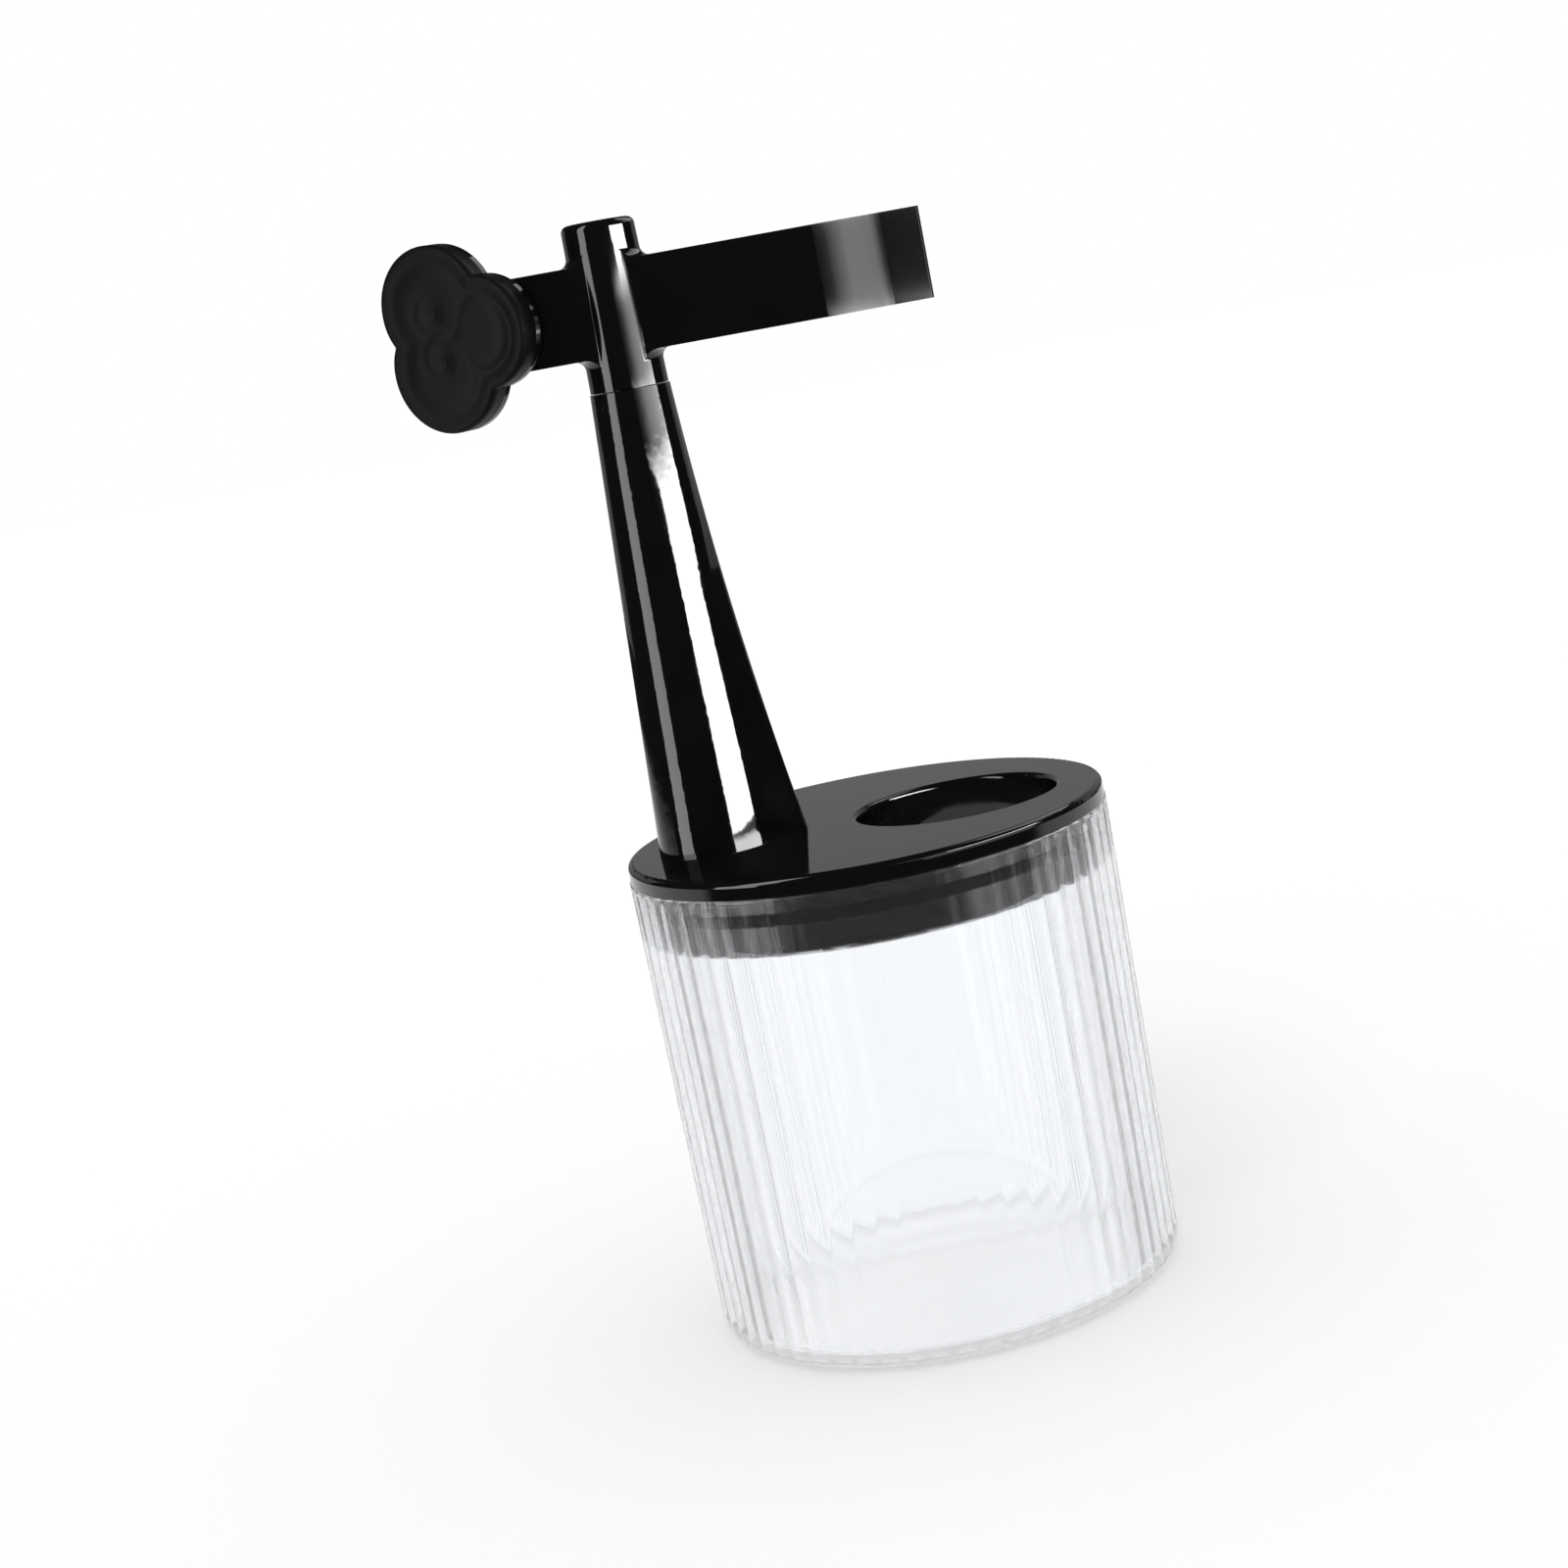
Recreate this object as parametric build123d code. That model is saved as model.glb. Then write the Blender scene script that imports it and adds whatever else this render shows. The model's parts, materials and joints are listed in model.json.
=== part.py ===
from build123d import *
from math import acos, cos, degrees, pi, radians, sin, sqrt, tan
import os

# A brush washing cup with a plug-in lid, a column and a swivelling hanging bar. Millimetres, +Z up.
# The origin is the centre of the cup's flat underside. +X points from the column towards the brush hole.

# Cup
CUP_HEIGHT = 79.0
CUP_RADIUS = 40.2
CUP_DRAFT = 0.5
CUP_WALL = 2.4
CUP_BASE = 2.0
CUP_CORNER = 3.2
CORNER_MARGIN = 0.05
CUP_FLOOR_CORNER = 1.8
RIB_COUNT = 60
RIB_DEPTH = 0.45
LIP_BAND = 2.5
LIP_ROUND = 0.4

# Lid
LID_THICKNESS = 3.0
LID_INSET = 0.2
LID_EDGE_ROUND = 1.0
SKIRT_DEPTH = 10.0
SKIRT_WALL = 2.0
SKIRT_GAP = 0.45
SKIRT_LEAD = 0.6
SEAL_GAP = 0.3
SEAL_HEIGHT = 2.0
SEAL_THICKNESS = 1.2
SEAL_DROP = 4.0
HOLE_RADIUS = 16.8
HOLE_MARGIN = 7.7
HOLE_ROUND = 0.8
COLLAR_WALL = 1.6
COLLAR_DEPTH = 8.0

# Column
COLUMN_HEIGHT = 76.2
COLUMN_MARGIN = 5.55
COLUMN_FLARE = 3.85
COLUMN_WALL = 1.8
PIVOT_WALL = 2.5
NOSE_RADIUS = 2.2
NOSE_BASE_REACH = 4.15
NOSE_MIDDLE_REACH = 1.0
NOSE_TOP_REACH = 0.05
PIVOT_BOSS = 11.7
SCREW_BOSS_RADIUS = 2.5
SCREW_BOSS_HEIGHT = 12.0
BOSS_SINK = 0.15

# Column screws
SCREW_RADIUS = 1.5
SCREW_PILOT_RADIUS = 1.2
SCREW_HOLE_GAP = 0.2
SCREW_HEAD_RADIUS = 2.6
SCREW_HEAD_HEIGHT = 1.6
SCREW_BITE = 9.0
SCREW_PILOT_SPARE = 1.0
SCREW_RECESS_RADIUS = 1.3
SCREW_RECESS_DEPTH = 0.9

# Head and its pivot
HEAD_FLOOR = 5.45
HEAD_CROWN = 6.6
HEAD_STEP = 0.13
HEAD_TAPER = 0.47
HEAD_TOP_ROUND = 1.2
SEAM_GAP = 0.15
SPIGOT_RADIUS = 4.0
SPIGOT_GAP = 0.06
END_PLAY = 0.2
FRICTION_RING_SECTION = 1.0
WASHER_LAP = 0.8
WASHER_THICKNESS = 0.8
WASHER_HOLE_GAP = 0.1

# Hanging bar, moulded with the head
BAR_HEIGHT = 14.75
BAR_THICKNESS = 10.2
BAR_REACH = 50.9
BAR_WALL = 1.6
BAR_ROOT_ROUND = 1.6
BAR_END_ROUND = 3.0
BAR_TIP_ROUND = 0.4
RAMP_START = 33.5
RAMP_ANGLE = 16.0
RAMP_LENGTH = 5.0
ROLL_IN_LENGTH = 4.5
ROLL_OUT_LENGTH = 1.7
HINGE_REACH = 20.9
KNUCKLE_WALL = 1.4
KNUCKLE_HEIGHT = 7.0
WEB_THICKNESS = 3.0
SHOULDER_GAP = 0.6

# Trefoil
TREFOIL_TURN = 33.0
LOBE_RADIUS = 10.1
BAR_LOBE_RADIUS = 9.0
LOBE_OFFSET = 5.5
TREFOIL_BACK_THICKNESS = 1.4
TREFOIL_FACE_THICKNESS = 3.6
TREFOIL_BACK_ROUND = 0.4
TREFOIL_FACE_ROUND = 0.8
RIM_WIDTH = 2.2
DISH_DEPTH = 1.1
DIMPLE_RADIUS = 0.8
DIMPLE_DEPTH = 0.5
TREFOIL_GAP = 1.8
LUG_GAP = 0.2
PIN_RADIUS = 1.0
PIN_RUNNING_GAP = 0.05
PIN_SEAT_GAP = 0.01

# Spare length of a cut past the face that it opens, and how near counts as touching
CUT_SPARE = 1.0
NEAR = 0.01

# Heights and places that follow from the sizes above
LID_RADIUS = CUP_RADIUS - LID_INSET
LID_TOP = CUP_HEIGHT + LID_THICKNESS
COLUMN_TOP_RADIUS = SPIGOT_RADIUS + PIVOT_WALL
COLUMN_BASE_RADIUS = COLUMN_TOP_RADIUS + COLUMN_FLARE
HEAD_BASE_RADIUS = COLUMN_TOP_RADIUS - HEAD_STEP
HEAD_TOP_RADIUS = HEAD_BASE_RADIUS - HEAD_TAPER
HEAD_HEIGHT = HEAD_FLOOR + BAR_HEIGHT + HEAD_CROWN
WASHER_RADIUS = SPIGOT_RADIUS + WASHER_LAP
KNUCKLE_RADIUS = PIN_RADIUS + KNUCKLE_WALL
KNUCKLE_SHOULDER = KNUCKLE_RADIUS + SHOULDER_GAP
TREFOIL_STANDOFF = KNUCKLE_RADIUS + TREFOIL_GAP
HOLE_X = LID_RADIUS - HOLE_MARGIN - HOLE_RADIUS
COLUMN_X = -(LID_RADIUS - COLUMN_MARGIN - COLUMN_BASE_RADIUS)
COLUMN_TOP = LID_TOP + COLUMN_HEIGHT
BOSS_UNDERSIDE = COLUMN_TOP - PIVOT_BOSS
HEAD_BASE = COLUMN_TOP + SEAM_GAP
BAR_BASE = HEAD_BASE + HEAD_FLOOR
BAR_Z = BAR_BASE + BAR_HEIGHT / 2
HINGE_X = COLUMN_X - HINGE_REACH
BAR_START = HINGE_X + KNUCKLE_SHOULDER
BAR_END = COLUMN_X + BAR_REACH
SPIGOT_END = BOSS_UNDERSIDE - END_PLAY
COLUMN_BORE = COLUMN_BASE_RADIUS - COLUMN_WALL
BACK_SCREW_X = COLUMN_X - (COLUMN_BORE + BOSS_SINK - SCREW_BOSS_RADIUS)
NOSE_SCREW_X = COLUMN_X + COLUMN_BORE + BOSS_SINK


def standing(radius, height, x, z):
    """A cylinder with its lower face at z."""
    at_base = (Align.CENTER, Align.CENTER, Align.MIN)
    return Pos(x, 0, z) * Cylinder(radius, height, align=at_base)


def tapered(base_radius, top_radius, height, x, z):
    """A frustum with its lower face at z."""
    at_base = (Align.CENTER, Align.CENTER, Align.MIN)
    return Pos(x, 0, z) * Cone(base_radius, top_radius, height, align=at_base)


def ring(outer, inner, height, x, z):
    """A plain ring with its lower face at z."""
    return standing(outer, height, x, z) - standing(inner, height, x, z)


def cup_radius(z):
    """Outer radius of the cup over its ribs at height z."""
    return CUP_RADIUS - (CUP_HEIGHT - z) * tan(radians(CUP_DRAFT))


def bore_radius(z):
    """Inner radius of the cup at height z."""
    return cup_radius(z) - CUP_WALL


def ribbed_outline(z):
    """One closed row of outward arcs, one arc for each rib."""
    half_pitch = pi / RIB_COUNT
    crest = cup_radius(z)
    groove = crest - RIB_DEPTH
    arcs = []
    for rib in range(RIB_COUNT):
        middle = 2 * half_pitch * rib
        start = (groove * cos(middle - half_pitch), groove * sin(middle - half_pitch), z)
        peak = (crest * cos(middle), crest * sin(middle), z)
        end = (groove * cos(middle + half_pitch), groove * sin(middle + half_pitch), z)
        arcs.append(Edge.make_three_point_arc(start, peak, end))
    return Wire(arcs)


def round_pot(base_radius, top_radius, corner, z0, z1):
    """A pot turned about Z, with an arc between its floor and its wall."""
    slope = (top_radius - base_radius) / (z1 - z0)
    wall_start = (base_radius + slope * corner, z0 + corner)
    floor_end = (base_radius - corner, z0)
    bend = corner * (1 - 1 / sqrt(2))
    outline = [
        Line((0, z0), floor_end),
        ThreePointArc(floor_end, (base_radius - bend, z0 + bend), wall_start),
        Line(wall_start, (top_radius, z1)),
        Line((top_radius, z1), (0, z1)),
        Line((0, z1), (0, z0)),
    ]
    return revolve(Plane.XZ * make_face(outline), Axis.Z)


def make_cup():
    """The clear ribbed tumbler, with a flat underside and a plain band at the lip."""
    rib_top = CUP_HEIGHT - LIP_BAND
    ribbed = Solid.make_loft([ribbed_outline(0), ribbed_outline(rib_top)], ruled=True)
    base_radius = cup_radius(0) + CORNER_MARGIN
    body = ribbed & round_pot(base_radius, CUP_RADIUS + CORNER_MARGIN, CUP_CORNER, 0, CUP_HEIGHT)
    band = standing(CUP_RADIUS, LIP_BAND, 0, rib_top)
    band = fillet(band.edges().sort_by(Axis.Z)[-1], LIP_ROUND)
    cavity = round_pot(
        bore_radius(CUP_BASE), bore_radius(CUP_HEIGHT), CUP_FLOOR_CORNER, CUP_BASE, CUP_HEIGHT
    )
    return body + band - cavity


def skirt_radius():
    """Outer radius of the plug skirt, clear of the bore at its lower edge."""
    return bore_radius(CUP_HEIGHT - SKIRT_DEPTH) - SKIRT_GAP


def seal_outer():
    """Outer radius of the seal, clear of the bore at its own height."""
    return bore_radius(CUP_HEIGHT - SEAL_DROP) - SEAL_GAP


def make_lid():
    """The lid's disc with its plug skirt, the collar of the brush hole and the screw holes."""
    disc = standing(LID_RADIUS, LID_THICKNESS, 0, CUP_HEIGHT)
    disc = fillet(disc.edges().sort_by(Axis.Z)[-1], LID_EDGE_ROUND)
    skirt_base = CUP_HEIGHT - SKIRT_DEPTH
    skirt = standing(skirt_radius(), SKIRT_DEPTH, 0, skirt_base)
    skirt = chamfer(skirt.edges().sort_by(Axis.Z)[0], SKIRT_LEAD)
    skirt -= standing(skirt_radius() - SKIRT_WALL, SKIRT_DEPTH, 0, skirt_base)
    collar = standing(HOLE_RADIUS + COLLAR_WALL, COLLAR_DEPTH, HOLE_X, CUP_HEIGHT - COLLAR_DEPTH)
    hole_depth = COLLAR_DEPTH + LID_THICKNESS
    lid = disc + skirt + collar - standing(HOLE_RADIUS, hole_depth, HOLE_X, CUP_HEIGHT - COLLAR_DEPTH)
    mouth = lid.edges().filter_by(GeomType.CIRCLE).filter_by(
        lambda edge: abs(edge.radius - HOLE_RADIUS) < NEAR and edge.center().Z > LID_TOP - NEAR
    )
    lid = fillet(mouth, HOLE_ROUND)
    seal_base = CUP_HEIGHT - SEAL_DROP - SEAL_HEIGHT / 2
    lid -= ring(skirt_radius() + CUT_SPARE, seal_outer() - SEAL_THICKNESS, SEAL_HEIGHT, 0, seal_base)
    for x in (BACK_SCREW_X, NOSE_SCREW_X):
        lid -= standing(SCREW_RADIUS + SCREW_HOLE_GAP, LID_THICKNESS, x, CUP_HEIGHT)
    return lid


def make_seal_ring():
    """The soft ring in the skirt's groove."""
    seal_base = CUP_HEIGHT - SEAL_DROP - SEAL_HEIGHT / 2
    return ring(seal_outer(), seal_outer() - SEAL_THICKNESS, SEAL_HEIGHT, 0, seal_base)


def column_section(radius, reach, z):
    """A round section drawn out to a small nose towards the brush hole."""
    nose_x = radius + reach - NOSE_RADIUS
    turn = acos((radius - NOSE_RADIUS) / nose_x)
    round_x = radius * cos(turn)
    round_y = radius * sin(turn)
    tip_x = nose_x + NOSE_RADIUS * cos(turn)
    tip_y = NOSE_RADIUS * sin(turn)
    place = Pos(COLUMN_X, 0, z)
    edges = [
        place * ThreePointArc((round_x, round_y), (-radius, 0), (round_x, -round_y)),
        place * Line((round_x, -round_y), (tip_x, -tip_y)),
        place * ThreePointArc((tip_x, -tip_y), (nose_x + NOSE_RADIUS, 0), (tip_x, tip_y)),
        place * Line((tip_x, tip_y), (round_x, round_y)),
    ]
    return make_face(edges)


def make_column():
    """The hollow tapered column with its pivot boss and its two screw bosses."""
    middle_radius = (COLUMN_BASE_RADIUS + COLUMN_TOP_RADIUS) / 2
    shell = loft(
        [
            column_section(COLUMN_BASE_RADIUS, NOSE_BASE_REACH, LID_TOP),
            column_section(middle_radius, NOSE_MIDDLE_REACH, LID_TOP + COLUMN_HEIGHT / 2),
            column_section(COLUMN_TOP_RADIUS, NOSE_TOP_REACH, COLUMN_TOP),
        ]
    )
    hollow_height = COLUMN_HEIGHT - PIVOT_BOSS
    taper = (COLUMN_BASE_RADIUS - COLUMN_TOP_RADIUS) / COLUMN_HEIGHT
    hollow = tapered(COLUMN_BORE, COLUMN_BORE - taper * hollow_height, hollow_height, COLUMN_X, LID_TOP)
    for x in (BACK_SCREW_X, NOSE_SCREW_X):
        hollow -= standing(SCREW_BOSS_RADIUS, SCREW_BOSS_HEIGHT, x, LID_TOP)
    column = shell - hollow
    column -= standing(SPIGOT_RADIUS + SPIGOT_GAP, PIVOT_BOSS, COLUMN_X, BOSS_UNDERSIDE)
    for x in (BACK_SCREW_X, NOSE_SCREW_X):
        column -= standing(SCREW_PILOT_RADIUS, SCREW_BITE + SCREW_PILOT_SPARE, x, LID_TOP)
    return column


def pan_screw(shank_length, head_radius, head_height, x, seat):
    """A screw whose head lies under seat and whose shank rises from it."""
    screw = standing(SCREW_RADIUS, shank_length, x, seat)
    screw += standing(head_radius, head_height, x, seat - head_height)
    return screw - standing(SCREW_RECESS_RADIUS, SCREW_RECESS_DEPTH, x, seat - head_height)


def make_column_screws():
    """The two screws that hold the column on the lid."""
    length = LID_THICKNESS + SCREW_BITE
    screws = [
        pan_screw(length, SCREW_HEAD_RADIUS, SCREW_HEAD_HEIGHT, x, CUP_HEIGHT)
        for x in (BACK_SCREW_X, NOSE_SCREW_X)
    ]
    return Compound(children=screws)


def groove_z():
    """Lower face of the groove in the spigot."""
    return BOSS_UNDERSIDE + PIVOT_BOSS / 2


def bar_plan(start_x, end_x, inset):
    """The bar in plan, this far inside its faces: a broad root, a ramp on either side, a slim tip."""
    root = (start_x, inset - BAR_THICKNESS / 2)
    lead = Line(root, (COLUMN_X + RAMP_START, root[1]))
    turn = radians(RAMP_ANGLE)
    roll_in = JernArc(lead @ 1, (1, 0), ROLL_IN_LENGTH / sin(turn) - inset, RAMP_ANGLE)
    ramp = Line(roll_in @ 1, roll_in @ 1 + roll_in % 1 * RAMP_LENGTH)
    roll_out = JernArc(ramp @ 1, ramp % 1, ROLL_OUT_LENGTH / sin(turn) + inset, -RAMP_ANGLE)
    tail = Line(roll_out @ 1, (end_x, (roll_out @ 1).Y))
    front = [lead, roll_in, ramp, roll_out, tail]
    back = [edge.mirror(Plane.XZ) for edge in front]
    ends = [Line(root, (start_x, -root[1])), Line(tail @ 1, (end_x, -(tail @ 1).Y))]
    return make_face(front + back + ends)


def bar_hollow(start_x, end_x):
    """The hollow that cores the bar from below between two places."""
    inner = extrude(Pos(0, 0, BAR_BASE) * bar_plan(BAR_START + BAR_WALL, BAR_END - BAR_WALL, BAR_WALL),
                    BAR_HEIGHT - BAR_WALL)
    inner = fillet(inner.edges().group_by(Axis.X)[0].filter_by(Axis.Z), BAR_END_ROUND - BAR_WALL)
    span = Pos((start_x + end_x) / 2, 0, BAR_Z) * Box(end_x - start_x, BAR_THICKNESS, 2 * BAR_HEIGHT)
    return inner & span


def on_barrel(edge):
    """Whether the middle of an edge lies on the head's round side."""
    middle = edge @ 0.5
    taper = HEAD_TAPER * (middle.Z - HEAD_BASE) / HEAD_HEIGHT
    away = sqrt((middle.X - COLUMN_X) ** 2 + middle.Y**2)
    return abs(away - (HEAD_BASE_RADIUS - taper)) < NEAR


def on_bar(edge):
    """Whether the middle of an edge lies within the bar's height."""
    middle = edge @ 0.5
    return abs(middle.Z - BAR_Z) < BAR_HEIGHT / 2 + NEAR


def make_head():
    """The round head and the cored hanging bar as one moulding, with the spigot and the hinge's knuckle."""
    bar = extrude(Pos(0, 0, BAR_BASE) * bar_plan(BAR_START, BAR_END, 0), BAR_HEIGHT)
    barrel = tapered(HEAD_BASE_RADIUS, HEAD_TOP_RADIUS, HEAD_HEIGHT, 0, HEAD_BASE)
    head = Pos(COLUMN_X, 0, 0) * Rot(0, 0, 90) * barrel + bar
    root = head.edges().filter_by(lambda edge: on_barrel(edge) and on_bar(edge))
    head = fillet(root, BAR_ROOT_ROUND)
    head = fillet(head.edges().sort_by(Axis.Z)[-1], HEAD_TOP_ROUND)
    head = fillet(head.edges().filter_by(Axis.Z).group_by(Axis.X)[0], BAR_END_ROUND)
    head = fillet(head.edges().filter_by(Axis.Z).group_by(Axis.X)[-1], BAR_TIP_ROUND)
    head -= bar_hollow(BAR_START, COLUMN_X - HEAD_BASE_RADIUS)
    head -= bar_hollow(COLUMN_X + HEAD_BASE_RADIUS, BAR_END)
    knuckle_base = BAR_Z - KNUCKLE_HEIGHT / 2
    web = Box(KNUCKLE_SHOULDER + BAR_WALL, WEB_THICKNESS, KNUCKLE_HEIGHT)
    head += Pos(HINGE_X + (KNUCKLE_SHOULDER + BAR_WALL) / 2, 0, BAR_Z) * web
    head += standing(KNUCKLE_RADIUS, KNUCKLE_HEIGHT, HINGE_X, knuckle_base)
    head -= standing(PIN_RADIUS + PIN_RUNNING_GAP, KNUCKLE_HEIGHT, HINGE_X, knuckle_base)
    head += standing(SPIGOT_RADIUS, HEAD_BASE - SPIGOT_END, COLUMN_X, SPIGOT_END)
    groove = FRICTION_RING_SECTION + END_PLAY
    inner = SPIGOT_RADIUS - FRICTION_RING_SECTION
    head -= ring(SPIGOT_RADIUS + CUT_SPARE, inner, groove, COLUMN_X, groove_z())
    return head - standing(SCREW_PILOT_RADIUS, SCREW_BITE + SCREW_PILOT_SPARE, COLUMN_X, SPIGOT_END)


def make_friction_ring():
    """The soft ring in the spigot's groove."""
    section = FRICTION_RING_SECTION / 2
    middle = groove_z() + (FRICTION_RING_SECTION + END_PLAY) / 2
    return Pos(COLUMN_X, 0, middle) * Torus(SPIGOT_RADIUS - section, section)


def make_pivot_washer():
    """The washer that bears on the spigot's end."""
    washer_base = SPIGOT_END - WASHER_THICKNESS
    hole = SCREW_RADIUS + WASHER_HOLE_GAP
    return ring(WASHER_RADIUS, hole, WASHER_THICKNESS, COLUMN_X, washer_base)


def make_pivot_screw():
    """The screw that holds the washer on the spigot."""
    seat = SPIGOT_END - WASHER_THICKNESS
    length = WASHER_THICKNESS + SCREW_BITE
    return pan_screw(length, SCREW_HEAD_RADIUS, SCREW_HEAD_HEIGHT, COLUMN_X, seat)


def trefoil_plane(distance):
    """A plane across the trefoil's facing direction, this far from the hinge."""
    turn = radians(TREFOIL_TURN)
    facing = Vector(-sin(turn), -cos(turn), 0)
    across = Vector(cos(turn), -sin(turn), 0)
    return Plane(Vector(HINGE_X, 0, BAR_Z) + facing * distance, x_dir=across, z_dir=facing)


def lobe_places():
    """Middle and radius of each of the three lobes, the smaller one beside the bar first."""
    places = []
    for i, radius in enumerate((BAR_LOBE_RADIUS, LOBE_RADIUS, LOBE_RADIUS)):
        turn = 2 * pi * i / 3
        places.append((LOBE_OFFSET * cos(turn), LOBE_OFFSET * sin(turn), radius))
    return places


def trefoil_slab(thickness, edge_round, rounded_end):
    """Three overlapping discs as one slab, rounded at its lower end (0) or its upper end (-1)."""
    at_base = (Align.CENTER, Align.CENTER, Align.MIN)
    lobes = []
    for x, y, radius in lobe_places():
        disc = Cylinder(radius, thickness, align=at_base)
        rim = disc.edges().filter_by(GeomType.CIRCLE).sort_by(Axis.Z)[rounded_end]
        lobes.append(Pos(x, y, 0) * fillet(rim, edge_round))
    return lobes[0] + lobes[1] + lobes[2]


def make_trefoil_back():
    """The back plate with the two lugs that straddle the knuckle."""
    plate = trefoil_slab(TREFOIL_BACK_THICKNESS, TREFOIL_BACK_ROUND, 0)
    plate = trefoil_plane(TREFOIL_STANDOFF) * plate
    lug_height = BAR_HEIGHT / 2 - KNUCKLE_HEIGHT / 2 - LUG_GAP
    for side in (-1, 1):
        lug_middle = side * (KNUCKLE_HEIGHT / 2 + LUG_GAP + lug_height / 2)
        arm_of_lug = Pos(0, lug_middle, TREFOIL_STANDOFF / 2) * Box(
            2 * KNUCKLE_RADIUS, lug_height, TREFOIL_STANDOFF
        )
        plate += trefoil_plane(0) * arm_of_lug
        plate += standing(KNUCKLE_RADIUS, lug_height, HINGE_X, BAR_Z + lug_middle - lug_height / 2)
    return plate - standing(PIN_RADIUS + PIN_SEAT_GAP, BAR_HEIGHT, HINGE_X, BAR_Z - BAR_HEIGHT / 2)


def make_trefoil_face():
    """The dished front with one small dimple in each dish."""
    slab = trefoil_slab(TREFOIL_FACE_THICKNESS, TREFOIL_FACE_ROUND, -1)
    dish_floor = TREFOIL_FACE_THICKNESS - DISH_DEPTH
    for x, y, radius in lobe_places():
        ball = ((radius - RIM_WIDTH) ** 2 + DISH_DEPTH**2) / (2 * DISH_DEPTH)
        slab -= Pos(x, y, dish_floor + ball) * Sphere(ball)
        slab -= Pos(x, y, dish_floor - DIMPLE_DEPTH + DIMPLE_RADIUS) * Sphere(DIMPLE_RADIUS)
    return trefoil_plane(TREFOIL_STANDOFF + TREFOIL_BACK_THICKNESS) * slab


def make_trefoil_pin():
    """The vertical pin through the lugs and the knuckle."""
    return standing(PIN_RADIUS, BAR_HEIGHT, HINGE_X, BAR_Z - BAR_HEIGHT / 2)


PIECES = {
    "cup": make_cup,
    "lid": make_lid,
    "seal_ring": make_seal_ring,
    "column": make_column,
    "column_screws": make_column_screws,
    "head": make_head,
    "friction_ring": make_friction_ring,
    "pivot_washer": make_pivot_washer,
    "pivot_screw": make_pivot_screw,
    "trefoil_back": make_trefoil_back,
    "trefoil_face": make_trefoil_face,
    "trefoil_pin": make_trefoil_pin,
}

os.makedirs("parts", exist_ok=True)
for name, make_piece in PIECES.items():
    export_step(make_piece(), f"parts/{name}.step")
    print("wrote", name)
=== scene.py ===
import json
import math

import bpy
from mathutils import Matrix, Vector


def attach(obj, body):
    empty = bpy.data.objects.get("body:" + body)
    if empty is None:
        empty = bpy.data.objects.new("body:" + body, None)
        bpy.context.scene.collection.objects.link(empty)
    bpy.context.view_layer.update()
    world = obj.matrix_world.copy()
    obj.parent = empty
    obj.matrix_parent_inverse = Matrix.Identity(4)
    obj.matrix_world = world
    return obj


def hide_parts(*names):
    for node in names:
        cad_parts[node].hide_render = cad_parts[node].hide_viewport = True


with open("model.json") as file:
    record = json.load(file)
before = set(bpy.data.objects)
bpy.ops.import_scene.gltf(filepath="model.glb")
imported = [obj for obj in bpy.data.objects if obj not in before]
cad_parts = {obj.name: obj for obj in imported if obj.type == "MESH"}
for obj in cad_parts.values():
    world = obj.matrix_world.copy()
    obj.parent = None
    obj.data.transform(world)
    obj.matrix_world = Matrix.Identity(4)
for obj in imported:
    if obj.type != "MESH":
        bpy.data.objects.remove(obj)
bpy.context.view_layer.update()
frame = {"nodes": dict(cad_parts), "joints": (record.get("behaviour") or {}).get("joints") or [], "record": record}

# A brush washing cup: a clear ribbed pot, a gloss black plug-in lid with a column, and a head with a
# hanging bar and a satin trefoil. Lengths are metres in the frame of the CAD model unless a name ends in MM.
MM = 0.001

# The photograph's camera
CAMERA_PLACE = (0.0, -0.4693, 0.1715)
CAMERA_YAW = 2.94
CAMERA_PITCH = -10.47
CAMERA_ROLL = -10.35
FRAME_PIXELS = 1600
FOCAL_PIXELS = 2923
AXIS_PIXEL = (1024, 789)
SENSOR_WIDTH = 36

# The studio
FLOOR_REACH = 4.0
FLOOR_DROP = 0.0002
FLOOR_TONE = 0.92
FLOOR_LIFT = 0.13
ROOM_LIGHT = 0.78
BACK_LIGHT = 0.9
DARK_ROOM = 0.02
WALL_LIGHT = 0.97
THROUGH_FRONT = 0.2
THROUGH_BEHIND = 0.95
THROUGH_SIDES = (((34, 44, 70, 80), 3.2), ((-82, -76, -56, -50), 5.0))
WORLD_REACH = 0.3
LAMP_LIGHT = 0.75
LAMP_SPREAD = 28
LAMP_TILT = (38, -18)

# The panels: their light, their distance from the column, and where a reflection of the right one fades.
# The two fades are lengths of a mirrored ray, and the second mirror dims a panel above the given heights.
RIGHT_PANEL_LIGHT = 26.0
LEFT_PANEL_LIGHT = 4.3
HIGH_PANEL_LIGHT = 1.6
BACK_PANEL_LIGHT = 0.30
PANEL_DISTANCE = 0.28
BACK_PANEL_DISTANCE = 0.40
PANEL_FOOT = 0.046
PANEL_STEPS = 6
NEAR_FADE = (0.243, 0.252)
FAR_FADE = (0.276, 0.282)
FADED_LEVEL = 0.05
SECOND_MIRROR = 0.1
SECOND_MIRROR_HEIGHTS = (0.115, 0.13)

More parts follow.
